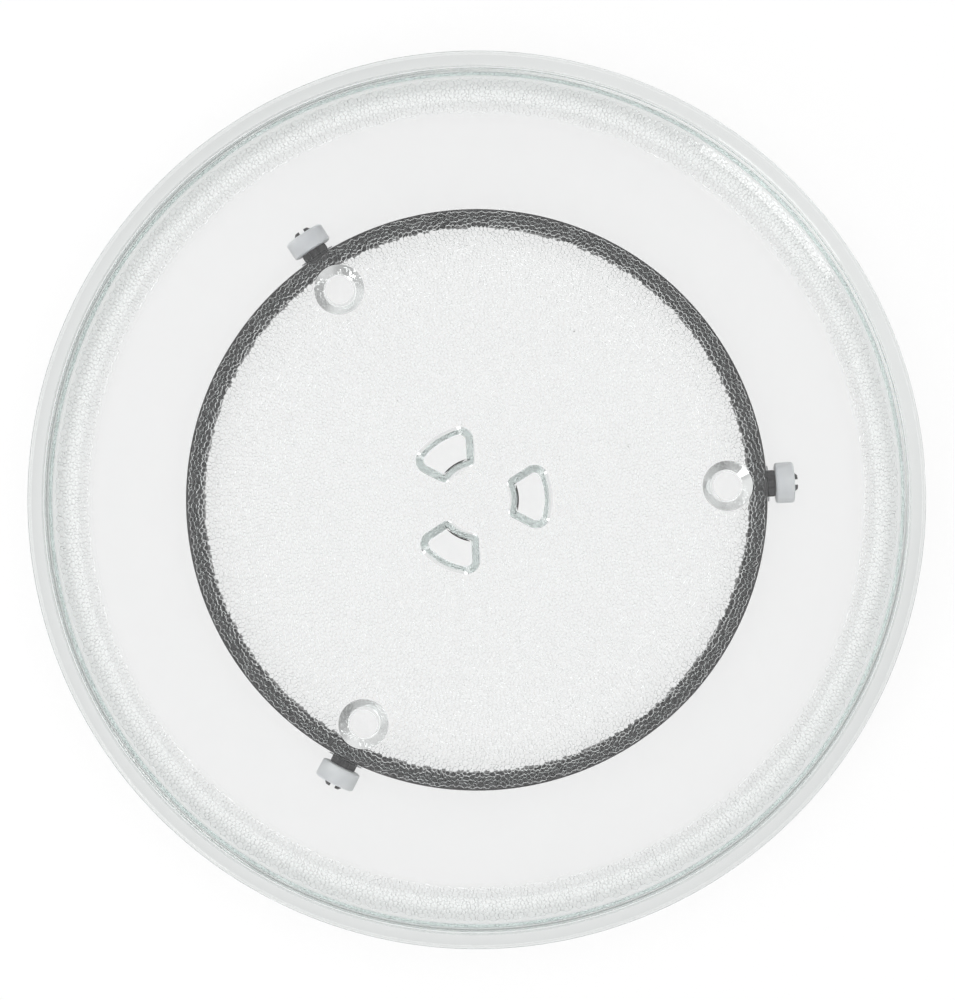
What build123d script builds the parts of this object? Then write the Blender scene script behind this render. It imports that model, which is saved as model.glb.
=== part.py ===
from build123d import *
import os
from math import atan2, radians, tan

# Microwave oven turntable: a pressed-glass plate that rides on a moulded roller ring.
# The ring carries three rollers on split snap-fit stub axles.
# Millimetres, +Z up. The origin is on the turning axis, on the floor that the rollers run on.

# Rollers, bosses and drive lugs repeat at this many equal stations round the axis
STATIONS = 3

# Rollers
ROLLER_D = 14.5
ROLLER_W = 6.6
ROLLER_EDGE = 0.9  # rounding of both tread edges
ROLLER_BORE_D = 6.16
BORE_LEAD = 0.4  # chamfer that helps the bore over the barbs
ROLL_GAP = 0.2  # between the rollers' tops and the glass

# Stub axles, split so that the two prongs can spring together
AXLE_PLAY = 0.08  # radial running clearance in the bore
AXLE_END_PLAY = 0.15  # clearance at each face of a roller
BARB_H = 0.5  # how far the barbs stand above the axle
BARB_L = 1.2
BARB_TIP_D = 5.0
SLOT_W = 1.9
SLOT_ROOT = 1.0  # solid length of axle left beside the shoulder

# Roller ring, an inverted channel that is solid at the axle stations
RING_INSET = 53.8  # from the plate's edge in to the ring's outer edge
RING_BAND = 6.6
RING_TOP_T = 1.8
RING_SKIRT_T = 1.6
RING_EDGE = 0.8
RING_FLOOR_GAP = 3.2
RING_BOSS_GAP = 0.4  # between the ring's top and the tips of the glass bosses
SHOULDER_W = 9.4
SHOULDER_L = 2.5
SHOULDER_DROP = 0.8  # step down from the ring's top
SHOULDER_EDGE = 0.7

# Glass plate
PLATE_D = 315.0
GLASS_T = 4.6  # floor and cove
FLANGE_T = 4.4
PLATE_H = 16.0  # from the underside to the top of the rim
RIM_W = 6.5
RIM_INNER_EDGE = 0.4
RIM_OUTER_EDGE = 1.6
RIM_LOWER_EDGE = 1.2
RIM_ROOT = 0.8
RIM_BEAD_W = 0.4  # bead between the rim's inner edge and its fine groove
GROOVE_W = 1.1
GROOVE_DEPTH = 0.35
GROOVE_EDGE = 0.15
WALL_RUN = 1.9  # horizontal run of the steep wall below the rim
WALL_FOOT = 1.2
WALL_OUT = 1.4  # from the rim's inner edge out to the wall's outer face
WALL_DRAFT = 2.5  # degrees
HEEL_RADIUS = 3.0
COVE_RUN = 7.0
COVE_RISE = 3.6
COVE_RADIUS = 18.0

# Smooth land that the rollers run on, proud of the patterned underside
TRACK_H = 0.3
TRACK_INNER_MARGIN = 3.3  # from the rollers' inner faces in to the land's edge
TRACK_COVE_MARGIN = 1.4  # from the land's outer edge to the start of the cove
TRACK_EDGE_RUN = 0.6
TRACK_EDGE = 0.5

# Drive lugs, which the oven's three-armed coupler turns
LUG_INNER_R = 11.7
LUG_L = 15.0
LUG_SPAN = 60.0  # degrees
LUG_H = 4.8
LUG_DRAFT = 30.0  # degrees
LUG_OUTER_CORNER = 2.2  # corner radii at the tip
LUG_INNER_CORNER = 0.3
LUG_TIP_EDGE = 0.4

# Round bosses just inside the ring
BOSS_INSET = 8.1  # from the ring's inner edge in to the boss's centre
BOSS_D = 17.8
BOSS_H = 4.2
BOSS_DRAFT = 43.0  # degrees
BOSS_TIP_EDGE = 0.4

# Heights and radii that follow from the sizes above
axle_z = ROLLER_D / 2
track_z = ROLLER_D + ROLL_GAP
under_z = track_z + TRACK_H
ring_top_z = under_z - BOSS_H - RING_BOSS_GAP
ring_outer_r = PLATE_D / 2 - RING_INSET
ring_inner_r = ring_outer_r - RING_BAND
shoulder_r = ring_outer_r + SHOULDER_L
roller_inner_r = shoulder_r + AXLE_END_PLAY
roller_outer_r = roller_inner_r + ROLLER_W
station_angles = [360 / STATIONS * station for station in range(STATIONS)]


def heel_corner(root, under, cove_angle):
    """Where the wall's outer face, drawn in from its root, meets the underside of the cove."""
    slope = tan(cove_angle)
    draw = tan(radians(WALL_DRAFT))
    rise = root[0] - root[1] * draw - under[0]
    heel_z = (under[1] + slope * rise) / (1 - slope * draw)
    return (root[0] - (root[1] - heel_z) * draw, heel_z)


def plate_section():
    """Half section of the plate: dished floor, cove, steep wall and grooved rim flange."""
    floor_z = under_z + GLASS_T
    rim_z = under_z + PLATE_H
    rim_r = PLATE_D / 2
    flange_r = rim_r - RIM_W
    wall_foot = (flange_r - WALL_RUN, floor_z + COVE_RISE)
    cove = (wall_foot[0] - COVE_RUN, floor_z)
    flange = (flange_r, rim_z)
    cove_angle = atan2(COVE_RISE, COVE_RUN)
    groove_r = flange_r + RIM_BEAD_W

    root = (flange_r + WALL_OUT, rim_z - FLANGE_T)
    under = (cove[0] + GLASS_T * tan(cove_angle / 2), under_z)
    heel = heel_corner(root, under, cove_angle)
    under_radius = COVE_RADIUS + GLASS_T
    cove_start_r = under[0] - under_radius * tan(cove_angle / 2)
    track_outer_r = cove_start_r - TRACK_COVE_MARGIN
    track_inner_r = roller_inner_r - TRACK_INNER_MARGIN

    corners = [
        (cove, COVE_RADIUS),
        (wall_foot, WALL_FOOT),
        (flange, RIM_INNER_EDGE),
        ((groove_r, rim_z), GROOVE_EDGE),
        ((groove_r + GROOVE_W / 2, rim_z - GROOVE_DEPTH), GROOVE_EDGE),
        ((groove_r + GROOVE_W, rim_z), GROOVE_EDGE),
        ((rim_r, rim_z), RIM_OUTER_EDGE),
        ((rim_r, root[1]), RIM_LOWER_EDGE),
        (root, RIM_ROOT),
        (heel, HEEL_RADIUS),
        (under, under_radius),
        ((track_outer_r, under_z), TRACK_EDGE),
        ((track_outer_r - TRACK_EDGE_RUN, track_z), TRACK_EDGE),
        ((track_inner_r + TRACK_EDGE_RUN, track_z), TRACK_EDGE),
        ((track_inner_r, under_z), TRACK_EDGE),
    ]
    path = [(0, floor_z), *(point for point, _ in corners), (0, under_z)]
    outline = FilletPolyline(*path, radius=[radius for _, radius in corners])
    axis_line = Line((0, under_z), (0, floor_z))
    return Plane.XZ * make_face(outline + axis_line)


def drive_lug():
    """Fan-shaped lug with a concave inner face, drafted towards its tip."""
    half = LUG_SPAN / 2
    outer_r = LUG_INNER_R + LUG_L
    flare = LUG_H * tan(radians(LUG_DRAFT))
    inner = CenterArc((0, 0), LUG_INNER_R, -half, LUG_SPAN)
    outer = CenterArc((0, 0), outer_r, -half, LUG_SPAN)
    sides = [Line(inner @ end, outer @ end) for end in (0, 1)]
    outline = make_face([inner, outer, *sides])
    outer_corners = outline.vertices().sort_by_distance((0, 0))[-2:]
    outline = fillet(outer_corners, LUG_OUTER_CORNER + flare)
    inner_corners = outline.vertices().sort_by_distance((0, 0))[:2]
    outline = fillet(inner_corners, LUG_INNER_CORNER + flare)
    lug = extrude(outline, amount=LUG_H, dir=(0, 0, -1), taper=LUG_DRAFT)
    lug = fillet(lug.faces().sort_by(Axis.Z)[0].edges(), LUG_TIP_EDGE)
    return Pos(0, 0, under_z) * lug


def round_boss():
    """Round boss with a conical flank and a flat tip."""
    base_r = BOSS_D / 2
    tip_r = base_r - BOSS_H * tan(radians(BOSS_DRAFT))
    tip_z = under_z - BOSS_H
    flank = FilletPolyline(
        (0, under_z), (base_r, under_z), (tip_r, tip_z), (0, tip_z), radius=[0, BOSS_TIP_EDGE]
    )
    axis_line = Line((0, tip_z), (0, under_z))
    boss = revolve(Plane.XZ * make_face(flank + axis_line), Axis.Z)
    return Pos(ring_inner_r - BOSS_INSET, 0, 0) * boss


def glass_plate():
    """The whole plate as one pressed piece."""
    plate = revolve(plate_section(), Axis.Z)
    for angle in station_angles:
        plate += Rot(Z=angle) * drive_lug()
        plate += Rot(Z=angle) * round_boss()
    return plate


def ring_channel():
    """Inverted channel of the ring, open underneath."""
    section = FilletPolyline(
        (ring_inner_r, RING_FLOOR_GAP),
        (ring_inner_r, ring_top_z),
        (ring_outer_r, ring_top_z),
        (ring_outer_r, RING_FLOOR_GAP),
        (ring_outer_r - RING_SKIRT_T, RING_FLOOR_GAP),
        (ring_outer_r - RING_SKIRT_T, ring_top_z - RING_TOP_T),
        (ring_inner_r + RING_SKIRT_T, ring_top_z - RING_TOP_T),
        (ring_inner_r + RING_SKIRT_T, RING_FLOOR_GAP),
        radius=[0, RING_EDGE, RING_EDGE, 0, 0, 0, 0, 0],
        close=True,
    )
    return revolve(Plane.XZ * make_face(section), Axis.Z)


def shoulder():
    """Block that fills the channel at a station and stands out to the roller."""
    start_r = ring_inner_r + RING_SKIRT_T / 2
    top_z = ring_top_z - SHOULDER_DROP
    length = shoulder_r - start_r
    height = top_z - RING_FLOOR_GAP
    block = Box(length, SHOULDER_W, height, align=(Align.MIN, Align.CENTER, Align.MIN))
    outer_edges = block.edges().filter_by(Axis.Z).sort_by(Axis.X)[-2:]
    return Pos(start_r, 0, RING_FLOOR_GAP) * fillet(outer_edges, SHOULDER_EDGE)


def stub_axle():
    """Split stub axle with a barbed end, along +X from the shoulder."""
    axle_r = ROLLER_BORE_D / 2 - AXLE_PLAY
    barb_r = axle_r + BARB_H
    root_r = shoulder_r - SHOULDER_L
    catch_r = roller_outer_r + AXLE_END_PLAY
    tip_r = catch_r + BARB_L
    slot_r = shoulder_r + SLOT_ROOT
    half_section = Polyline(
        (root_r, 0),
        (root_r, axle_r),
        (catch_r, axle_r),
        (catch_r, barb_r),
        (tip_r, BARB_TIP_D / 2),
        (tip_r, 0),
        close=True,
    )
    pin = revolve(make_face(half_section), Axis.X)
    slot = Box(tip_r - slot_r, SLOT_W, 2 * barb_r, align=(Align.MIN, Align.CENTER, Align.CENTER))
    return Pos(0, 0, axle_z) * (pin - Pos(slot_r, 0, 0) * slot)


def roller_ring():
    """The ring moulding with its shoulders and axles."""
    ring = ring_channel()
    for angle in station_angles:
        ring += Rot(Z=angle) * (shoulder() + stub_axle())
    return ring


def roller():
    """Wheel on the axle of the first station."""
    tread_r = ROLLER_D / 2
    bore_r = ROLLER_BORE_D / 2
    half_section = FilletPolyline(
        (roller_inner_r, bore_r + BORE_LEAD),
        (roller_inner_r, tread_r),
        (roller_outer_r, tread_r),
        (roller_outer_r, bore_r + BORE_LEAD),
        (roller_outer_r - BORE_LEAD, bore_r),
        (roller_inner_r + BORE_LEAD, bore_r),
        radius=[0, ROLLER_EDGE, ROLLER_EDGE, 0, 0, 0],
        close=True,
    )
    return Pos(0, 0, axle_z) * revolve(make_face(half_section), Axis.X)


os.makedirs("parts", exist_ok=True)
export_step(glass_plate(), "parts/glass_plate.step")
export_step(roller_ring(), "parts/roller_ring.step")
for number, angle in enumerate(station_angles, start=1):
    export_step(Rot(Z=angle) * roller(), f"parts/roller_{number}.step")
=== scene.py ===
"""Microwave oven turntable: clear pressed-glass plate on a plastic roller ring."""

from math import asin, atan2, ceil, cos, pi, radians, sin, sqrt, tan
from random import Random

import bmesh
import bpy
from bpy.props import FloatProperty, FloatVectorProperty, IntProperty, PointerProperty
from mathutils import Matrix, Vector
from mathutils.geometry import delaunay_2d_cdt
from mathutils.kdtree import KDTree


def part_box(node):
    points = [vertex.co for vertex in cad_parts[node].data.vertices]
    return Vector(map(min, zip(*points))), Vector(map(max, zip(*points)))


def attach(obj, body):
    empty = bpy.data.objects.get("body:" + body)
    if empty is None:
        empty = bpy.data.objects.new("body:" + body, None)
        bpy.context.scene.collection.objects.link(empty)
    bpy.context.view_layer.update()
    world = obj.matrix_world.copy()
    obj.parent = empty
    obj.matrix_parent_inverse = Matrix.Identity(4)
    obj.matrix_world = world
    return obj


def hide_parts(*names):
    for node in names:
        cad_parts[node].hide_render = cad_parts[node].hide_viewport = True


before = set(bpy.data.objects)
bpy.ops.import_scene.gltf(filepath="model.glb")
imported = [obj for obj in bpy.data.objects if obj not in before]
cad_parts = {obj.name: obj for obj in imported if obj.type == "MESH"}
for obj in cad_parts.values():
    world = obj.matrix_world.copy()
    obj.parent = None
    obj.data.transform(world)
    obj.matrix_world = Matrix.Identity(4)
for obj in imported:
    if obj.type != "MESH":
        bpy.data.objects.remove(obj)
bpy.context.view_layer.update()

bl_info = {
    "name": "Glass turntable",
    "version": (1, 0, 0),
    "blender": (4, 5, 0),
    "location": "View3D > Sidebar > Turntable",
    "description": "Builds the glass plate, the finishes of the roller ring and the studio round them",
    "category": "Object",
}

MM = 0.001
PLATE_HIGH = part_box("glass_plate")[1]
ROLLERS = ("roller_1", "roller_2", "roller_3")
WHITE = (1, 1, 1)

# Points of the plate that lie closer than WELD are joined, and faces thinner than SLIVER are removed.
WELD = 2e-6
SLIVER = WELD / 4
CRISP_ANGLE = radians(30)

# Attributes of the pebbles: which points lie on a crease or in a pebble's middle, and the gap to a crease.
MARK = "pebble_mark"
GAP = "crease_gap"
CREASE_MARK = 1.0
MIDDLE_MARK = 2.0

# Clear room round a pebble's middle, in steps, and how far the heights and dips of the pebbles vary.
PEBBLE_CLEAR = 0.55
DOME_SPREAD = (0.6, 1.3)
DIP_SPREAD = (0.8, 1.15)
TRIANGLES_INSIDE = 1
JOIN_DISTANCE = 1e-9

# Spacing of the support loops beside a rounded corner, and half a row of the turned section.
CORNER_SUPPORT = 0.3 * MM
FLANK_SUPPORT = 0.25 * MM
HALF_ROW = 0.5

# Unevenness of the moulded plastics: shades, size of the clouds per metre, and share of the fine grain.
DARK_SHARE = 0.88
PALE_SHARE = 1.1
CLOUD_SCALE = 90.0
CLOUD_DETAIL = 2.0
CLOUD_RANGE = (0.35, 0.95)
CLOUD_GRAIN = 0.3
GRAIN_DETAIL = 3.0
GLOSS_GRAIN = 0.1

# Heights in the sky, from the horizon at 0 to overhead at 1, between which a part of it sets in or fades.
BACKDROP_FADE = (0.1, 0.2)
STRIP_RISE = (0.5, 0.6)
HIGH_RISE = (0.68, 0.9)
TOP_RISE = (0.95, 0.985)
SIDE_RANGE = (-0.8, 0.8)

FLOOR_SIDES = 128
SENSOR_H = 36


def length(name, description, default):
    """A size in metres for a property group."""
    return FloatProperty(
        name=name, description=description, default=default, min=0, precision=5, unit="LENGTH"
    )


def colour(name, description, default):
    """A linear colour for a property group."""
    return FloatVectorProperty(
        name=name, description=description, default=default, min=0, max=1, size=3, subtype="COLOR"
    )


def plain(name, description, default):
    """A number without a unit for a property group."""
    return FloatProperty(name=name, description=description, default=default)


def angle(name, description, default):
    """An angle for a property group, given in degrees."""
    return FloatProperty(name=name, description=description, default=radians(default), subtype="ANGLE")


class PlateProperties(bpy.types.PropertyGroup):
    """Sizes of the pressed plate."""

    rim_r: length("Rim radius", "Outer radius of the plate", PLATE_HIGH.x)
    rim_z: length("Rim height", "Top of the rim above the oven floor", PLATE_HIGH.z)
    glass_t: length("Glass", "Thickness of the floor and the cove", 4.6 * MM)
    flange_t: length("Flange", "Thickness of the rim flange", 4.4 * MM)
    plate_h: length("Plate height", "From the underside to the top of the rim", 16 * MM)
    rim_w: length("Rim width", "Width of the flat rim flange", 6.5 * MM)
    rim_inner_edge: length("Rim inner edge", "Rounding of the rim's inner edge", 0.4 * MM)
    rim_outer_edge: length("Rim outer edge", "Rounding of the rim's outer edge", 1.6 * MM)
    rim_lower_edge: length("Rim lower edge", "Rounding under the rim", 1.2 * MM)
    rim_root: length("Rim root", "Rounding between the wall and the flange, underneath", 0.8 * MM)
    bead_w: length("Bead", "Width of the bead beside the rim's fine groove", 0.4 * MM)
    groove_w: length("Groove width", "Width of the rim's fine groove", 1.1 * MM)
    groove_depth: length("Groove depth", "Depth of the rim's fine groove", 0.35 * MM)
    groove_edge: length("Groove edge", "Rounding of the groove's edges", 0.15 * MM)
    wall_run: length("Wall run", "Horizontal run of the steep wall", 1.9 * MM)
    wall_foot: length("Wall foot", "Rounding at the foot of the wall", 1.2 * MM)
    wall_out: length("Wall offset", "From the rim's inner edge out to the wall's outer face", 1.4 * MM)
    wall_draft: angle("Wall draft", "Draft of the wall's outer face", 2.5)
    heel_radius: length("Heel", "Rounding between the wall's outer face and the cove", 3 * MM)
    cove_run: length("Cove run", "Horizontal run of the cove", 7 * MM)
    cove_rise: length("Cove rise", "Rise of the cove", 3.6 * MM)
    cove_radius: length("Cove radius", "Rounding between the floor and the cove", 18 * MM)
    track_h: length("Track height", "How far the roller track stands proud", 0.3 * MM)
    track_inner_r: length("Track inner radius", "Inner edge of the roller track", 103.05 * MM)
    track_cove_margin: length("Track margin", "From the track's outer edge to the cove", 1.4 * MM)
    track_edge_run: length("Track edge run", "Run of the track's sloped edges", 0.6 * MM)
    track_edge: length("Track edge", "Rounding of the track's edges", 0.5 * MM)
    stations: IntProperty(
        name="Stations", description="Drive lugs and bosses round the axis", default=3, min=1
    )
    lug_inner_r: length("Lug inner radius", "Inner radius of a drive lug", 11.7 * MM)
    lug_l: length("Lug length", "Radial length of a drive lug", 15 * MM)
    lug_span: angle("Lug span", "Angle that a drive lug takes up", 60)
    lug_h: length("Lug height", "How far a drive lug stands below the glass", 4.8 * MM)
    lug_draft: angle("Lug draft", "Draft of a drive lug's sides", 30)
    lug_outer_corner: length("Lug outer corner", "Corner radius at the tip, outside", 2.2 * MM)
    lug_inner_corner: length("Lug inner corner", "Corner radius at the tip, inside", 0.3 * MM)
    lug_tip_edge: length("Lug tip edge", "Rounding round a drive lug's tip", 0.4 * MM)
    boss_r: length("Boss radius", "Radius of a round boss at its foot", 8.9 * MM)
    boss_place_r: length("Boss place", "From the axis to the middle of a boss", 89 * MM)
    boss_h: length("Boss height", "How far a boss stands below the glass", 4.2 * MM)
    boss_draft: angle("Boss draft", "Draft of a boss's side", 43)
    boss_tip_edge: length("Boss tip edge", "Rounding round a boss's tip", 0.4 * MM)
    segments: IntProperty(name="Segments", description="Divisions round the plate", default=216, min=48)
    pebble_step: length("Pebble step", "Spacing of the pebbles pressed into the underside", 1.6 * MM)
    pebble_drift: plain("Pebble drift", "How far a pebble strays from an even pattern, in steps", 0.48)
    pebble_margin: length("Pebble margin", "Plain edge left beside the track", 0.3 * MM)
    heel_margin: length("Heel margin", "Plain edge left beside the heel", 0.35 * MM)
    pebble_out: length("Pebble height", "How far the middle of a pebble stands out", 0.02 * MM)
    pebble_in: length("Pebble fall", "How far a pebble falls off towards its creases", 0.03 * MM)
    crease_w: length("Crease width", "Half the width of the creases between pebbles", 0.12 * MM)
    crease_depth: length("Crease depth", "How far the creases go into the glass", 0.086 * MM)
    pebble_seed: IntProperty(name="Pebble seed", description="Seed of the pebbles' pattern", default=7)


class FinishProperties(bpy.types.PropertyGroup):
    """Looks of the glass and the plastics."""

    glass_ior: plain("Glass IOR", "Refractive index of the glass", 1.5)
    glass_tint: colour("Glass tint", "Colour that thick glass turns to", (0.45, 0.717, 0.658))
    glass_depth: plain("Tint density", "Strength of the tint, per metre", 2.4)
    ring_colour: colour("Ring", "Colour of the roller ring", (0.022, 0.021, 0.023))
    ring_roughness: plain("Ring roughness", "Roughness of the roller ring", 0.42)
    ring_grain: length("Ring grain", "Size of the ring's moulded grain", 0.3 * MM)
    ring_relief: length("Ring relief", "Depth of the ring's moulded grain", 0.02 * MM)
    roller_colour: colour("Rollers", "Colour of the rollers", (0.88, 0.905, 0.94))
    roller_roughness: plain("Roller roughness", "Roughness of the rollers", 0.35)
    roller_grain: length("Roller grain", "Size of the rollers' moulded grain", 0.25 * MM)
    roller_relief: length("Roller relief", "Depth of the rollers' moulded grain", 0.01 * MM)


class StageProperties(bpy.types.PropertyGroup):
    """Floor, light and camera."""

    view_distance: length("View distance", "From the rim up to the camera", 1.3)
    view_right: plain("View right", "How far the camera stands to the right of the axis", 0.25 * MM)
    view_up: plain("View up", "How far the camera stands behind the axis", -0.07 * MM)
    view_turn: angle("View turn", "How far the camera is turned about the axis", -3.2)
    view_width: plain("Focal share", "Focal length against the view distance", 0.10281)
    floor_paint: plain("Floor paint", "Share of the light that the floor gives back", 0.97)
    floor_glow: plain("Floor glow", "Share of the open floor's white that is its own glow", 0.85)
    sheet_glow: plain("Sheet glow", "The same share where the floor is seen through glass", 0.82)
    sheet_r: length("Sheet radius", "Where the white sheet under the plate starts to fade", 0.152)
    sheet_edge: length("Sheet edge", "Width over which the sheet fades", 0.028)
    # The sheet's grey is painted shade: it stands for the plate's own shadow on the floor below it.
    sheet_colour: colour("Sheet", "Colour of the sheet seen through glass", (0.935, 0.935, 0.935))
    shade_r: length("Shade radius", "Where the shade of the plate's rim on the sheet starts", 0.134)
    shade_edge: length("Shade edge", "Width over which that shade sets in", 0.014)
    shade_colour: colour("Shade", "Colour of the sheet in the rim's shade", (0.775, 0.79, 0.785))
    ground_colour: colour("Ground", "Colour of the ground seen through glass", (0.30, 0.33, 0.32))
    ground_lit: colour("Lit ground", "The same where a window lights it", (0.80, 0.82, 0.81))
    window_turn: angle("Window", "Direction of the lit ground", 42)
    window_core: angle("Window core", "Angle from that direction up to which the ground is fully lit", 15)
    window_edge: angle("Window edge", "Angle from that direction at which the lit ground ends", 60)
    lamp_x: plain("Lamp right", "Place of the window lamp, to the right of the axis", -0.9)
    lamp_y: plain("Lamp back", "Place of the window lamp, behind the axis", -0.8)
    lamp_z: plain("Lamp height", "Height of the window lamp", 1.1)
    lamp_size: length("Lamp size", "Side of the square window lamp", 0.5)
    lamp_level: plain("Lamp level", "Brightness of the window lamp", 3.5)
    floor_r: length("Floor radius", "Radius of the floor", 4.0)
    sky_dark: plain("Dark side", "Level of the low sky on its dark side", 0.1)
    sky_side: plain("Pale side", "Level of the low sky on its pale side", 0.55)
    sky_turn: angle("Pale direction", "Direction of the low sky's pale side", 140)
    sky_high: plain("High sky", "Level of the high sky", 2.4)
    sky_top: plain("Sky top", "Level of the sky straight overhead", 0.65)
    strip_level: plain("Strip", "Level of the wide lamp overhead", 0.8)
    strip_reach: plain("Strip reach", "Half the width of the lamp overhead, against its height", 0.32)
    strip_front: plain("Strip front", "Front edge of the lamp overhead, against its height", -0.13)
    strip_back: plain("Strip back", "Back edge of the lamp overhead, against its height", 0.06)
    strip_soft: plain("Strip softness", "Width over which the lamp's edges fade", 0.04)
    glass_bounces: IntProperty(
        name="Glass bounces", description="How often light is followed inside the glass", default=18, min=4
    )


class Wire:
    """An output socket that takes part in Python expressions; each operation adds a Math node."""

    def __init__(self, graph, socket):
        self.graph = graph
        self.socket = socket

    def _math(self, operation, left, right):
        return self.graph.add("ShaderNodeMath", {"operation": operation}, {0: left, 1: right})

    def __add__(self, other):
        return self._math("ADD", self, other)

    def __radd__(self, other):
        return self._math("ADD", other, self)

    def __sub__(self, other):
        return self._math("SUBTRACT", self, other)

    def __rsub__(self, other):
        return self._math("SUBTRACT", other, self)

    def __mul__(self, other):
        return self._math("MULTIPLY", self, other)

    def __rmul__(self, other):
        return self._math("MULTIPLY", other, self)

    def __truediv__(self, other):
        return self._math("DIVIDE", self, other)

    def __rtruediv__(self, other):
        return self._math("DIVIDE", other, self)

    def __mod__(self, other):
        return self._math("MODULO", self, other)

    def __rmod__(self, other):
        return self._math("MODULO", other, self)

    def __pow__(self, other):
        return self._math("POWER", self, other)

    def __rpow__(self, other):
        return self._math("POWER", other, self)

    def __abs__(self):
        return self.graph.add("ShaderNodeMath", {"operation": "ABSOLUTE"}, {0: self})


class Graph:
    """A node tree that is written one node at a time."""

    def __init__(self, tree):
        self.tree = tree

    def add(self, kind, settings=None, inputs=None, output=0):
        """Adds a node, sets it up, gives its sockets values or links, and returns one of its outputs."""
        node = self.tree.nodes.new(kind)
        for name, value in (settings or {}).items():
            setattr(node, name, value)
        for key, value in (inputs or {}).items():
            if isinstance(value, Wire):
                self.tree.links.new(value.socket, node.inputs[key])
            else:
                node.inputs[key].default_value = value
        return Wire(self, node.outputs[output]) if len(node.outputs) else None

    def ease(self, value, low, high, start=0.0, end=1.0):
        """A smooth step from start to end while the value goes from low to high."""
        limits = {"Value": value, "From Min": low, "From Max": high, "To Min": start, "To Max": end}
        return self.add("ShaderNodeMapRange", {"interpolation_type": "SMOOTHSTEP"}, limits)

    def blend(self, share, first, second):
        """A mix of two colours, each a wire or a plain colour."""
        shades = [shade if isinstance(shade, Wire) else (*shade, 1) for shade in (first, second)]
        inputs = {"Factor": share, "A": shades[0], "B": shades[1]}
        return self.add("ShaderNodeMix", {"data_type": "RGBA"}, inputs, output="Result")

    def place(self):
        """Object coordinates."""
        return self.add("ShaderNodeTexCoord", output="Object")

    def split(self, vector):
        """The three parts of a vector."""
        parts = self.add("ShaderNodeSeparateXYZ", inputs={0: vector})
        return [Wire(self, socket) for socket in parts.socket.node.outputs]

    def light_path(self):
        """Whether a ray comes from the camera, from a reflection and through glass."""
        outputs = self.add("ShaderNodeLightPath").socket.node.outputs
        kinds = ("Is Camera Ray", "Is Glossy Ray", "Is Transmission Ray")
        return [Wire(self, outputs[kind]) for kind in kinds]


def new_material(name):
    """An empty node material and its graph."""
    material = bpy.data.materials.new(name)
    material.use_nodes = True
    material.node_tree.nodes.clear()
    return material, Graph(material.node_tree)


def pressed_glass(finish, plate):
    """Clear glass that goes green where light runs far inside it, with fine creases between its pebbles."""
    material, graph = new_material("pressed_glass")
    gap = graph.add("ShaderNodeAttribute", {"attribute_name": GAP}, output="Fac")
    height = graph.add(
        "ShaderNodeMapRange",
        inputs={
            "Value": gap,
            "From Min": 0.0,
            "From Max": plate.crease_w,
            "To Min": -plate.crease_depth,
            "To Max": 0.0,
        },
    )
    crease = graph.add("ShaderNodeBump", inputs={"Height": height, "Distance": 1.0, "Strength": 1.0})
    surface = graph.add(
        "ShaderNodeBsdfPrincipled",
        inputs={
            "Base Color": (*WHITE, 1),
            "Roughness": 0.0,
            "IOR": finish.glass_ior,
            "Transmission Weight": 1.0,
            "Normal": crease,
        },
    )
    volume = graph.add(
        "ShaderNodeVolumeAbsorption",
        inputs={"Color": (*finish.glass_tint, 1), "Density": finish.glass_depth},
    )
    graph.add("ShaderNodeOutputMaterial", inputs={"Surface": surface, "Volume": volume})
    return material


def moulded_plastic(name, shade, roughness, grain, relief):
    """Moulded plastic with a fine even grain and a little unevenness in tone."""
    material, graph = new_material(name)
    place = graph.place()
    fine = graph.add(
        "ShaderNodeTexNoise", inputs={"Vector": place, "Scale": 1 / grain, "Detail": GRAIN_DETAIL}
    )
    cloud = graph.add(
        "ShaderNodeTexNoise", inputs={"Vector": place, "Scale": CLOUD_SCALE, "Detail": CLOUD_DETAIL}
    )
    darker = [DARK_SHARE * part for part in shade]
    paler = [min(1, PALE_SHARE * part) for part in shade]
    tone = graph.blend(graph.ease(cloud + CLOUD_GRAIN * fine, *CLOUD_RANGE), darker, paler)
    bump = graph.add("ShaderNodeBump", inputs={"Height": fine, "Distance": relief, "Strength": 1.0})
    surface = graph.add(
        "ShaderNodeBsdfPrincipled",
        inputs={"Base Color": tone, "Roughness": roughness + GLOSS_GRAIN * fine, "Normal": bump},
    )
    graph.add("ShaderNodeOutputMaterial", inputs={"Surface": surface})
    return material


def turned(point, turn):
    """A point in the plane, turned about the origin."""
    return Vector((point.x * cos(turn) - point.y * sin(turn), point.x * sin(turn) + point.y * cos(turn)))


def rounded_path(corners, arc_step=radians(10), support=CORNER_SUPPORT):
    """Points along a polyline whose corners (across, up, radius) are rounded by arcs."""
    points = [Vector(corner[:2]) for corner in corners]
    path = [points[0]]
    for before, here, after, (_, _, radius) in zip(points, points[1:], points[2:], corners[1:]):
        back = (before - here).normalized()
        on = (after - here).normalized()
        half = back.angle(on) / 2
        reach = radius / tan(half)
        centre = here + (back + on).normalized() * (radius / sin(half))
        start = here + back * reach - centre
        sweep = start.angle_signed(here + on * reach - centre)
        steps = max(3, ceil(abs(sweep) / arc_step))
        if (path[-1] - here).length > reach + 2 * support:
            path.append(here + back * (reach + support))
        for step in range(steps + 1):
            turn = -sweep * step / steps
            path.append(centre + turned(start, turn))
        if (after - here).length > reach + 2 * support:
            path.append(here + on * (reach + support))
    path.append(points[-1])
    return path


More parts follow.
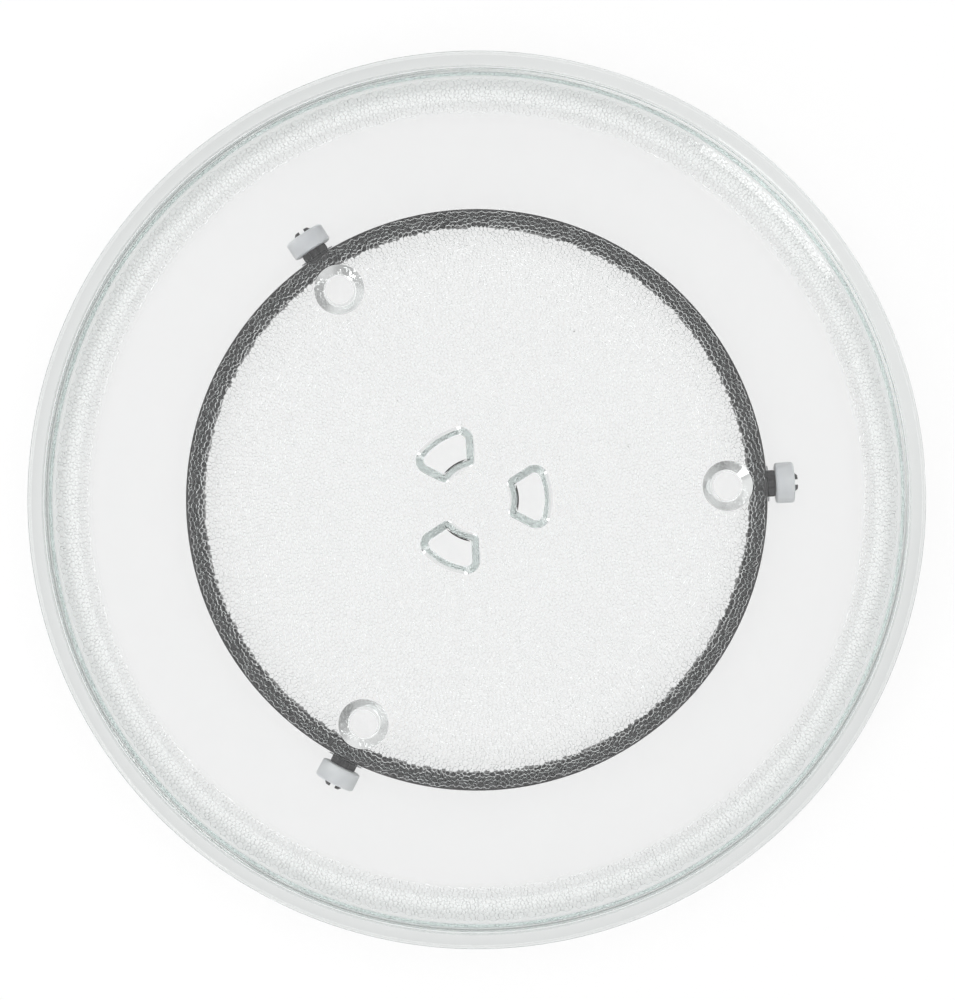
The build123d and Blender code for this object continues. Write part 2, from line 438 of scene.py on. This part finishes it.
class PlateForm:
    """Heights, radii and corners that follow from the plate's sizes."""

    def __init__(self, plate):
        self.under_z = plate.rim_z - plate.plate_h
        self.track_z = self.under_z - plate.track_h
        self.floor_z = self.under_z + plate.glass_t
        self.flange_r = plate.rim_r - plate.rim_w
        self.foot = (self.flange_r - plate.wall_run, self.floor_z + plate.cove_rise)
        self.cove_r = self.foot[0] - plate.cove_run
        self.cove_angle = atan2(plate.cove_rise, plate.cove_run)
        self.root = (self.flange_r + plate.wall_out, plate.rim_z - plate.flange_t)
        self.under_r = self.cove_r + plate.glass_t * tan(self.cove_angle / 2)
        self.heel = self._heel(plate)
        self.under_radius = plate.cove_radius + plate.glass_t
        self.cove_start_r = self.under_r - self.under_radius * tan(self.cove_angle / 2)
        self.track_outer_r = self.cove_start_r - plate.track_cove_margin
        heel_turn = pi / 2 - plate.wall_draft - self.cove_angle
        heel_start = plate.heel_radius * tan(heel_turn / 2) * cos(self.cove_angle)
        self.pebble_outer_r = self.heel[0] - heel_start - plate.heel_margin
        self.pebble_inner_r = self.track_outer_r + plate.pebble_margin
        self.disc_r = plate.track_inner_r - plate.pebble_margin

    def _heel(self, plate):
        """Where the wall's outer face, drawn in from its root, meets the underside of the cove."""
        slope = tan(self.cove_angle)
        draw = tan(plate.wall_draft)
        run = self.root[0] - self.root[1] * draw - self.under_r
        heel_z = (self.under_z + slope * run) / (1 - slope * draw)
        return (self.root[0] - (self.root[1] - heel_z) * draw, heel_z)

    def underside(self, radius):
        """Height and slope of the underside at a radius, without its pebbles."""
        run = radius - self.cove_start_r
        if run <= 0:
            return self.under_z, 0.0
        if run < self.under_radius * sin(self.cove_angle):
            height = self.under_z + self.under_radius - sqrt(self.under_radius ** 2 - run ** 2)
            return height, asin(run / self.under_radius)
        return self.under_z + (radius - self.under_r) * tan(self.cove_angle), self.cove_angle

    def facing(self, point):
        """Direction in which the underside faces at a point in plan."""
        radius = point.length
        _, slope = self.underside(radius)
        outward = point / radius if radius else point
        return Vector((*(outward * sin(slope)), -cos(slope)))

    def off_underside(self, point, depth):
        """A point in plan, put on the underside and moved out of the glass by a depth."""
        height, _ = self.underside(point.length)
        return Vector((*point, height)) + depth * self.facing(point)


def plate_section(plate, form):
    """Section from the middle of the top, round the rim, to the cove's pebbles, and on across the track.

    Returns the points and the number of those before the gap that the pebbles fill.
    """
    groove_r = form.flange_r + plate.bead_w
    land_outer_r = form.track_outer_r - plate.track_edge_run
    land_inner_r = plate.track_inner_r + plate.track_edge_run
    outer_z, _ = form.underside(form.pebble_outer_r)
    outer = [
        (0, form.floor_z, 0),
        (form.cove_r, form.floor_z, plate.cove_radius),
        (*form.foot, plate.wall_foot),
        (form.flange_r, plate.rim_z, plate.rim_inner_edge),
        (groove_r, plate.rim_z, plate.groove_edge),
        (groove_r + plate.groove_w / 2, plate.rim_z - plate.groove_depth, plate.groove_edge),
        (groove_r + plate.groove_w, plate.rim_z, plate.groove_edge),
        (plate.rim_r, plate.rim_z, plate.rim_outer_edge),
        (plate.rim_r, form.root[1], plate.rim_lower_edge),
        (*form.root, plate.rim_root),
        (*form.heel, plate.heel_radius),
        (form.pebble_outer_r, outer_z, 0),
    ]
    inner = [
        (form.pebble_inner_r, form.under_z, 0),
        (form.track_outer_r, form.under_z, plate.track_edge),
        (land_outer_r, form.track_z, plate.track_edge),
        (land_inner_r, form.track_z, plate.track_edge),
        (plate.track_inner_r, form.under_z, plate.track_edge),
        (form.disc_r, form.under_z, 0),
    ]
    before_gap = rounded_path(outer)
    return before_gap + rounded_path(inner), len(before_gap)


def lug_outline(plate, step=0.7 * MM):
    """Outline of a drive lug at its foot, as points with their inward directions."""
    half = plate.lug_span / 2
    outer_r = plate.lug_inner_r + plate.lug_l
    flare = plate.lug_h * tan(plate.lug_draft)
    outer_corner = plate.lug_outer_corner + flare
    inner_corner = plate.lug_inner_corner + flare
    outer_tuck = half - atan2(outer_corner, sqrt((outer_r - outer_corner) ** 2 - outer_corner ** 2))
    inner_reach = plate.lug_inner_r + inner_corner
    inner_tuck = half - atan2(inner_corner, sqrt(inner_reach ** 2 - inner_corner ** 2))
    quarter = pi / 2

    def around(centre, radius, begin, end, inward):
        count = max(4, ceil(radius * abs(end - begin) / step))
        turns = [begin + (end - begin) * index / count for index in range(count)]
        directions = [Vector((cos(turn), sin(turn))) for turn in turns]
        return [(centre + radius * direction, inward * direction) for direction in directions]

    def corner_centre(reach, turn):
        return Vector((reach * cos(turn), reach * sin(turn)))

    axis = Vector((0, 0))
    outer_reach = outer_r - outer_corner
    points = around(axis, outer_r, -outer_tuck, outer_tuck, -1)
    points += around(corner_centre(outer_reach, outer_tuck), outer_corner, outer_tuck, half + quarter, -1)
    points += side_run(points[-1], corner_centre(inner_reach, inner_tuck), inner_corner, half + quarter, step)
    points += around(
        corner_centre(inner_reach, inner_tuck), inner_corner, half + quarter, inner_tuck + pi, -1
    )
    points += around(axis, plate.lug_inner_r, inner_tuck, -inner_tuck, 1)
    points += around(
        corner_centre(inner_reach, -inner_tuck), inner_corner, pi - inner_tuck, 1.5 * pi - half, -1
    )
    points += side_run(
        points[-1], corner_centre(outer_reach, -outer_tuck), outer_corner, -half - quarter, step
    )
    points += around(
        corner_centre(outer_reach, -outer_tuck), outer_corner, -half - quarter, -outer_tuck, -1
    )
    return points


def side_run(last, centre, radius, turn, step):
    """Points along a lug's straight side, between two of its rounded corners."""
    direction = Vector((cos(turn), sin(turn)))
    end = centre + radius * direction
    start = last[0]
    run = end - start
    count = max(2, ceil(run.length / step))
    return [(start + run * index / count, -direction) for index in range(1, count)]


def boss_outline(plate, count=84):
    """Outline of a round boss at its foot, as points with their inward directions."""
    centre = Vector((plate.boss_place_r, 0))
    directions = [Vector((cos(2 * pi * i / count), sin(2 * pi * i / count))) for i in range(count)]
    return [(centre + plate.boss_r * direction, -direction) for direction in directions]


def add_raised_form(mesh, outline, flank, foot_z):
    """Walls and tip of a lug or boss, from loops of its outline moved in and down along the flank."""
    loops = []
    for inset, fall in flank:
        moved = [point + inset * inward for point, inward in outline]
        loops.append([mesh.verts.new((*point, foot_z - fall)) for point in moved])
    for upper, lower in zip(loops, loops[1:]):
        count = len(upper)
        for i in range(count):
            j = (i + 1) % count
            mesh.faces.new((upper[i], lower[i], lower[j], upper[j]))
    mesh.faces.new(list(reversed(loops[-1])))


def flank_path(height, draft, edge):
    """Section of a drafted flank that rolls over into a flat tip, as (inset, drop)."""
    inset = height * tan(draft)
    corners = [(0, 0, 0), (inset, height, edge), (inset + 2 * edge, height, 0)]
    return [tuple(point) for point in rounded_path(corners, support=FLANK_SUPPORT)][:-1]


def new_object(name, mesh):
    """Puts a bmesh into a new object of the scene."""
    data = bpy.data.meshes.new(name)
    mesh.to_mesh(data)
    mesh.free()
    made = bpy.data.objects.new(name, data)
    bpy.context.scene.collection.objects.link(made)
    return made


def station_object(plate, form):
    """One drive lug and one boss, open where they join the plate."""
    mesh = bmesh.new()
    lug_flank = flank_path(plate.lug_h, plate.lug_draft, plate.lug_tip_edge)
    boss_flank = flank_path(plate.boss_h, plate.boss_draft, plate.boss_tip_edge)
    add_raised_form(mesh, lug_outline(plate), lug_flank, form.under_z)
    add_raised_form(mesh, boss_outline(plate), boss_flank, form.under_z)
    return new_object("station_form", mesh)


def inside(point, outline):
    """Whether a point lies inside a closed outline."""
    crossings = 0
    for (x1, y1), (x2, y2) in zip(outline, outline[1:] + outline[:1]):
        if (y1 > point.y) != (y2 > point.y) and point.x < x1 + (point.y - y1) * (x2 - x1) / (y2 - y1):
            crossings += 1
    return crossings % 2 == 1


def border(radius, plate):
    """A border of the pebbles, with one point for each segment of the turned section."""
    turns = [2 * pi * segment / plate.segments for segment in range(plate.segments)]
    return [Vector((radius * cos(turn), radius * sin(turn))) for turn in turns]


def pebble_middles(plate, form, openings, random):
    """Middles of the pebbles: an even pattern with each point strayed a little, clear of every border."""
    step = plate.pebble_step
    row_step = step * sqrt(3) / 2
    clear = PEBBLE_CLEAR * step
    feet = KDTree(sum(len(opening) for opening in openings))
    for index, point in enumerate(point for opening in openings for point in opening):
        feet.insert((*point, 0), index)
    feet.balance()
    rows = int(form.pebble_outer_r / row_step)
    columns = int(form.pebble_outer_r / step) + 1
    middles = []
    for row in range(-rows, rows + 1):
        for column in range(-columns, columns + 1):
            stray = Vector((random.uniform(-1, 1), random.uniform(-1, 1))) * plate.pebble_drift * step
            point = Vector(((column + row % 2 / 2) * step, row * row_step)) + stray
            radius = point.length
            on_disc = radius < form.disc_r - clear
            on_cove = form.pebble_inner_r + clear < radius < form.pebble_outer_r - clear
            if not (on_disc or on_cove):
                continue
            if on_disc and (
                feet.find((*point, 0))[2] < clear or any(inside(point, opening) for opening in openings)
            ):
                continue
            middles.append(point)
    return middles


def pebble_object(plate, form):
    """The pebbled parts of the underside: the disc round the lugs and bosses, and the cove.

    The middles of the pebbles are joined into triangles. Each triangle's centre is a corner where creases
    meet, so every pebble becomes a fan of faces from its middle to the creases round it.
    """
    random = Random(plate.pebble_seed)
    turns = [2 * pi * station / plate.stations for station in range(plate.stations)]
    feet = [[point for point, _ in outline] for outline in (lug_outline(plate), boss_outline(plate))]
    openings = [[turned(point, turn) for point in foot] for turn in turns for foot in feet]
    track = [border(form.pebble_inner_r, plate), border(form.disc_r, plate)]
    points, edges, homes = [], [], []
    for home, loop in enumerate([*openings, *track, border(form.pebble_outer_r, plate)]):
        first = len(points)
        points += loop
        edges += [(first + i, first + (i + 1) % len(loop)) for i in range(len(loop))]
        homes += [home] * len(loop)
    fixed = len(points)
    points += pebble_middles(plate, form, openings, random)
    found, _, triangles, origins, _, _ = delaunay_2d_cdt(
        points, edges, [], TRIANGLES_INSIDE, JOIN_DISTANCE
    )

    mesh = bmesh.new()
    mark = mesh.verts.layers.float.new(MARK)
    gap = mesh.loops.layers.float.new(GAP)
    made, home_of = [], []
    for point, origin in zip(found, origins):
        on_border = origin[0] < fixed
        depth = 0 if on_border else plate.pebble_out * random.uniform(*DOME_SPREAD)
        vert = mesh.verts.new(form.off_underside(point, depth))
        vert[mark] = 0 if on_border else MIDDLE_MARK
        made.append(vert)
        home_of.append(homes[origin[0]] if on_border else None)
    even_reach = plate.pebble_step / sqrt(3)
    track_homes = {len(openings), len(openings) + 1}
    sides = {}
    for triangle in triangles:
        middle = sum((found[i] for i in triangle), Vector((0, 0))) / 3
        around = {home_of[i] for i in triangle}
        if around <= track_homes:
            continue
        if len(around) == 1 and None not in around and inside(middle, openings[around.pop()]):
            continue
        reach = sum((found[i] - middle).length for i in triangle) / 3
        depth = plate.pebble_in * random.uniform(*DIP_SPREAD) * reach / even_reach
        corner = mesh.verts.new(form.off_underside(middle, -depth))
        corner[mark] = CREASE_MARK
        for i, j in zip(triangle, (*triangle[1:], triangle[0])):
            sides.setdefault((min(i, j), max(i, j)), []).append(corner)
    for (i, j), corners in sides.items():
        if len(corners) == 2:
            along = (corners[1].co - corners[0].co).normalized()
            for near, ends in ((made[i], corners), (made[j], corners[::-1])):
                face = mesh.faces.new((near, *ends))
                face.loops[0][gap] = (near.co - corners[0].co).cross(along).length
        else:
            mesh.faces.new((made[i], made[j], corners[0]))
    return new_object("pebble_form", mesh)


def section_object(section):
    """The plate's section as a row of points for the node tree to turn."""
    mesh = bmesh.new()
    for point in section:
        mesh.verts.new((point.x, 0, point.y))
    return new_object("glass_plate_visual", mesh)


def plate_tree(section_count, before_gap):
    """Geometry Nodes: turns the section about the axis and joins the pebbles and the stations to it."""
    tree = bpy.data.node_groups.new("turned_plate", "GeometryNodeTree")
    sockets = [
        ("Section", "INPUT", "NodeSocketGeometry"),
        ("Pebbles", "INPUT", "NodeSocketObject"),
        ("Station", "INPUT", "NodeSocketObject"),
        ("Segments", "INPUT", "NodeSocketInt"),
        ("Stations", "INPUT", "NodeSocketInt"),
        ("Glass", "INPUT", "NodeSocketMaterial"),
        ("Plate", "OUTPUT", "NodeSocketGeometry"),
    ]
    names = {}
    for name, direction, kind in sockets:
        names[name] = tree.interface.new_socket(name, in_out=direction, socket_type=kind).identifier
    graph = Graph(tree)
    first = graph.add("NodeGroupInput").socket.node
    given = {socket.name: Wire(graph, socket) for socket in first.outputs if socket.name}

    grid = graph.add(
        "GeometryNodeMeshGrid", inputs={"Vertices X": given["Segments"] + 1, "Vertices Y": section_count}
    )
    index = graph.add("GeometryNodeInputIndex")
    face_row = index % (section_count - 1)
    in_gap = graph.add(
        "ShaderNodeMath", {"operation": "COMPARE"}, {0: face_row, 1: before_gap - 1, 2: HALF_ROW}
    )
    grid = graph.add(
        "GeometryNodeDeleteGeometry", {"domain": "FACE"}, {"Geometry": grid, "Selection": in_gap}
    )
    row = index % section_count
    column = (index - row) / section_count
    point = graph.add(
        "GeometryNodeSampleIndex",
        {"data_type": "FLOAT_VECTOR", "domain": "POINT"},
        {"Geometry": given["Section"], "Value": graph.add("GeometryNodeInputPosition"), "Index": row},
    )
    across, _, up = graph.split(point)
    turn = column * (2 * pi) / given["Segments"]
    cosine = graph.add("ShaderNodeMath", {"operation": "COSINE"}, {0: turn})
    sine = graph.add("ShaderNodeMath", {"operation": "SINE"}, {0: turn})
    place = graph.add("ShaderNodeCombineXYZ", inputs={0: across * cosine, 1: across * sine, 2: up})
    shell = graph.add("GeometryNodeSetPosition", inputs={"Geometry": grid, "Position": place})

    pebbles = graph.add("GeometryNodeObjectInfo", inputs={"Object": given["Pebbles"]}, output="Geometry")
    station = graph.add("GeometryNodeObjectInfo", inputs={"Object": given["Station"]}, output="Geometry")
    points = graph.add("GeometryNodePoints", inputs={"Count": given["Stations"]})
    station_turn = graph.add("ShaderNodeCombineXYZ", inputs={2: index * (2 * pi) / given["Stations"]})
    stations = graph.add(
        "GeometryNodeInstanceOnPoints",
        inputs={"Points": points, "Instance": station, "Rotation": station_turn},
    )
    stations = graph.add("GeometryNodeRealizeInstances", inputs={"Geometry": stations})
    joined = graph.add("GeometryNodeJoinGeometry", inputs={"Geometry": shell})
    for part in (pebbles, stations):
        tree.links.new(part.socket, joined.socket.node.inputs["Geometry"])
    welded = graph.add("GeometryNodeMergeByDistance", inputs={"Geometry": joined, "Distance": WELD})
    smooth = graph.add("GeometryNodeSetShadeSmooth", inputs={"Geometry": welded, "Shade Smooth": True})
    realized = graph.add("GeometryNodeRealizeInstances", inputs={"Geometry": smooth})
    finished = graph.add("GeometryNodeSetMaterial", inputs={"Geometry": realized, "Material": given["Glass"]})
    graph.add("NodeGroupOutput", inputs={"Plate": finished})
    return tree, names


def settle(made, tree, values):
    """Runs a node tree on an object and keeps its result as a plain mesh."""
    modifier = made.modifiers.new(tree.name, "NODES")
    modifier.node_group = tree
    for identifier, value in values.items():
        modifier[identifier] = value
    made.update_tag()
    evaluated = made.evaluated_get(bpy.context.evaluated_depsgraph_get())
    mesh = bpy.data.meshes.new_from_object(evaluated)
    made.modifiers.remove(modifier)
    old = made.data
    made.data = mesh
    mesh.name = made.name
    bpy.data.meshes.remove(old)


def finish_mesh(made):
    """Turns every face outwards and keeps the creases and the feet of the lugs and bosses crisp."""
    mesh = bmesh.new()
    mesh.from_mesh(made.data)
    bmesh.ops.dissolve_degenerate(mesh, dist=SLIVER, edges=mesh.edges)
    bmesh.ops.recalc_face_normals(mesh, faces=mesh.faces)
    mark = mesh.verts.layers.float[MARK]
    for edge in mesh.edges:
        marks = [vert[mark] for vert in edge.verts]
        on_crease = all(value == CREASE_MARK for value in marks)
        edge.smooth = not (on_crease or edge.calc_face_angle(0) > CRISP_ANGLE and not any(marks))
    open_edges = sum(len(edge.link_faces) != 2 for edge in mesh.edges)
    mesh.to_mesh(made.data)
    mesh.free()
    if open_edges:
        raise RuntimeError(f"the plate has {open_edges} edges without two faces")


def round_pebbles(made, form):
    """Gives each pebble the normals of a rounded dome: level at its middle, steepest at its creases."""
    data = made.data
    marks = [item.value for item in data.attributes[MARK].data]
    normals = [Vector((0, 0, 0))] * len(data.loops)
    for face in data.polygons:
        middles = [index for index in face.vertices if marks[index] == MIDDLE_MARK]
        if len(middles) != 1:
            continue
        middle = data.vertices[middles[0]].co
        level = form.facing(middle.xy)
        for loop, index in zip(face.loop_indices, face.vertices):
            away = data.vertices[index].co - middle
            rise = -away.dot(level)
            along = away + rise * level
            lean = along * (2 * rise / along.length_squared) if index != middles[0] else along
            normals[loop] = (level + lean).normalized()
    data.normals_split_custom_set(normals)


def drop(*objects):
    """Removes helper objects and their meshes."""
    for helper in objects:
        data = helper.data
        bpy.data.objects.remove(helper)
        bpy.data.meshes.remove(data)


class TURNTABLE_OT_plate(bpy.types.Operator):
    """Build the glass plate with its pebbled underside, lugs and bosses"""

    bl_idname = "turntable.plate"
    bl_label = "Glass plate"

    def execute(self, context):
        plate = context.scene.turntable_plate
        form = PlateForm(plate)
        section, before_gap = plate_section(plate, form)
        made = section_object(section)
        pebbles = pebble_object(plate, form)
        station = station_object(plate, form)
        glass = pressed_glass(context.scene.turntable_finish, plate)
        tree, names = plate_tree(len(section), before_gap)
        settle(
            made,
            tree,
            {
                names["Pebbles"]: pebbles,
                names["Station"]: station,
                names["Segments"]: plate.segments,
                names["Stations"]: plate.stations,
                names["Glass"]: glass,
            },
        )
        drop(pebbles, station)
        finish_mesh(made)
        round_pebbles(made, form)
        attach(made, "plate")
        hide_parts("glass_plate")
        return {"FINISHED"}


class TURNTABLE_OT_ring(bpy.types.Operator):
    """Give the roller ring its moulded finish"""

    bl_idname = "turntable.ring"
    bl_label = "Roller ring"

    def execute(self, context):
        finish = context.scene.turntable_finish
        plastic = moulded_plastic(
            "ring_plastic", finish.ring_colour, finish.ring_roughness, finish.ring_grain, finish.ring_relief
        )
        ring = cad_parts["roller_ring"]
        ring.data.materials.clear()
        ring.data.materials.append(plastic)
        return {"FINISHED"}


class TURNTABLE_OT_rollers(bpy.types.Operator):
    """Give the three rollers their pale satin finish"""

    bl_idname = "turntable.rollers"
    bl_label = "Rollers"

    def execute(self, context):
        finish = context.scene.turntable_finish
        plastic = moulded_plastic(
            "roller_plastic",
            finish.roller_colour,
            finish.roller_roughness,
            finish.roller_grain,
            finish.roller_relief,
        )
        for name in ROLLERS:
            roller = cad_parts[name]
            roller.data.materials.clear()
            roller.data.materials.append(plastic)
        return {"FINISHED"}


def studio_floor(stage):
    """White sheet on a dimmer ground: the camera sees all of it white, and only glass shows their tones.
    Those tones are painted light and shade: a grey on the sheet for the plate's shadow, a greyer ring for its
    rim's shadow, and a painted pool of window light on the ground.
    """
    material, graph = new_material("studio_floor")
    camera, glossy, refracted = graph.light_path()
    through = graph.add("ShaderNodeClamp", inputs={"Value": glossy + refracted})
    x, y, _ = graph.split(graph.place())
    radius = (x * x + y * y) ** 0.5
    towards = (x * cos(stage.window_turn) + y * sin(stage.window_turn)) / radius
    lit = graph.ease(towards, cos(stage.window_edge), cos(stage.window_core))
    away = graph.ease(radius, stage.sheet_r, stage.sheet_r + stage.sheet_edge)
    ground = graph.blend(lit, stage.ground_colour, stage.ground_lit)
    # Painted shade: the sheet seen through glass is grey for the plate's shadow, and greyer in a ring for the
    # rim's shadow.
    shaded = graph.ease(radius, stage.shade_r, stage.shade_r + stage.shade_edge)
    sheet = graph.blend(shaded, stage.sheet_colour, stage.shade_colour)
    shade = graph.blend(away, sheet, ground)
    shade = graph.blend(camera, shade, WHITE)
    glow = graph.add("ShaderNodeEmission", inputs={"Color": shade})
    level = stage.floor_paint
    paint = graph.add("ShaderNodeBsdfDiffuse", inputs={"Color": (level, level, level, 1)})
    sheet_share = stage.sheet_glow + away * (1 - stage.sheet_glow)
    share = camera * stage.floor_glow + through * sheet_share
    both = graph.add("ShaderNodeMixShader", inputs={0: share, 1: paint, 2: glow})
    graph.add("ShaderNodeOutputMaterial", inputs={"Surface": both})
    return material


def studio_sky(stage):
    """Soft sky, dim and uneven low down, bright higher up and calmer overhead, where a wide lamp hangs.

    The camera sees it as white, and glass sees its lowest part as white.
    """
    world = bpy.data.worlds.new("studio_sky")
    world.use_nodes = True
    world.node_tree.nodes.clear()
    graph = Graph(world.node_tree)
    direction = graph.add("ShaderNodeTexCoord", output="Generated")
    side, back, up = graph.split(direction)
    across = abs(side) / up
    along = back / up
    soft = stage.strip_soft
    strip = (
        graph.ease(across, stage.strip_reach, stage.strip_reach + soft, 1, 0)
        * graph.ease(along, stage.strip_front - soft, stage.strip_front)
        * graph.ease(along, stage.strip_back, stage.strip_back + soft, 1, 0)
        * graph.ease(up, *STRIP_RISE)
    )
    pale = side * cos(stage.sky_turn) + back * sin(stage.sky_turn)
    low = graph.ease(pale, *SIDE_RANGE, stage.sky_dark, stage.sky_side)
    level = graph.ease(up, *HIGH_RISE, low, stage.sky_high)
    level = level + graph.ease(up, *TOP_RISE, 0.0, stage.sky_top - stage.sky_high)
    level = level + strip * (stage.strip_level - stage.sky_top)
    camera, glossy, refracted = graph.light_path()
    backdrop = graph.ease(up, *BACKDROP_FADE, 1, 0)
    seen = graph.add("ShaderNodeClamp", inputs={"Value": camera + (glossy + refracted) * backdrop})
    strength = level * (1 - seen) + seen
    sky = graph.add("ShaderNodeBackground", inputs={"Color": (*WHITE, 1), "Strength": strength})
    graph.add("ShaderNodeOutputWorld", inputs={"Surface": sky})
    return world


def softbox(name, place, target, size, radiance):
    """A rectangular area lamp of even brightness that faces a point."""
    data = bpy.data.lights.new(name, "AREA")
    data.shape = "RECTANGLE"
    data.size, data.size_y = size
    data.energy = radiance * pi * size[0] * size[1]
    lamp = bpy.data.objects.new(name, data)
    lamp.location = place
    lamp.rotation_euler = (Vector(target) - Vector(place)).to_track_quat("-Z", "Y").to_euler()
    bpy.context.scene.collection.objects.link(lamp)


class TURNTABLE_OT_stage(bpy.types.Operator):
    """Set up the floor, the light and the camera"""

    bl_idname = "turntable.stage"
    bl_label = "Stage"

    def execute(self, context):
        scene = context.scene
        stage = scene.turntable_stage
        mesh = bmesh.new()
        bmesh.ops.create_circle(mesh, cap_ends=True, segments=FLOOR_SIDES, radius=stage.floor_r)
        floor = new_object("studio_floor", mesh)
        floor.data.materials.append(studio_floor(stage))
        scene.world = studio_sky(stage)
        lamp_place = (stage.lamp_x, stage.lamp_y, stage.lamp_z)
        softbox("window_box", lamp_place, (0, 0, 0), (stage.lamp_size, stage.lamp_size), stage.lamp_level)

        lens = bpy.data.cameras.new("camera")
        lens.sensor_fit = "VERTICAL"
        lens.sensor_height = SENSOR_H
        lens.lens = stage.view_width * stage.view_distance / MM
        camera = bpy.data.objects.new("camera", lens)
        camera.location = (stage.view_right, stage.view_up, PLATE_HIGH.z + stage.view_distance)
        camera.rotation_euler = (0, 0, stage.view_turn)
        scene.collection.objects.link(camera)
        scene.camera = camera
        scene.view_settings.view_transform = "Standard"
        scene.cycles.max_bounces = stage.glass_bounces
        scene.cycles.glossy_bounces = stage.glass_bounces
        return {"FINISHED"}


class TURNTABLE_PT_panel(bpy.types.Panel):
    """Lists the steps that build the turntable"""

    bl_idname = "TURNTABLE_PT_panel"
    bl_label = "Turntable"
    bl_space_type = "VIEW_3D"
    bl_region_type = "UI"
    bl_category = "Turntable"

    def draw(self, context):
        for step in STEPS:
            self.layout.operator(step.bl_idname)


STEPS = (TURNTABLE_OT_plate, TURNTABLE_OT_ring, TURNTABLE_OT_rollers, TURNTABLE_OT_stage)
GROUPS = {
    "turntable_plate": PlateProperties,
    "turntable_finish": FinishProperties,
    "turntable_stage": StageProperties,
}


def register():
    for group in GROUPS.values():
        bpy.utils.register_class(group)
    for name, group in GROUPS.items():
        setattr(bpy.types.Scene, name, PointerProperty(type=group))
    for step in (*STEPS, TURNTABLE_PT_panel):
        bpy.utils.register_class(step)


def unregister():
    for step in (TURNTABLE_PT_panel, *reversed(STEPS)):
        bpy.utils.unregister_class(step)
    for name, group in GROUPS.items():
        delattr(bpy.types.Scene, name)
        bpy.utils.unregister_class(group)


def main():
    register()
    bpy.ops.turntable.plate()
    bpy.ops.turntable.ring()
    bpy.ops.turntable.rollers()
    bpy.ops.turntable.stage()


if __name__ == "__main__":
    main()
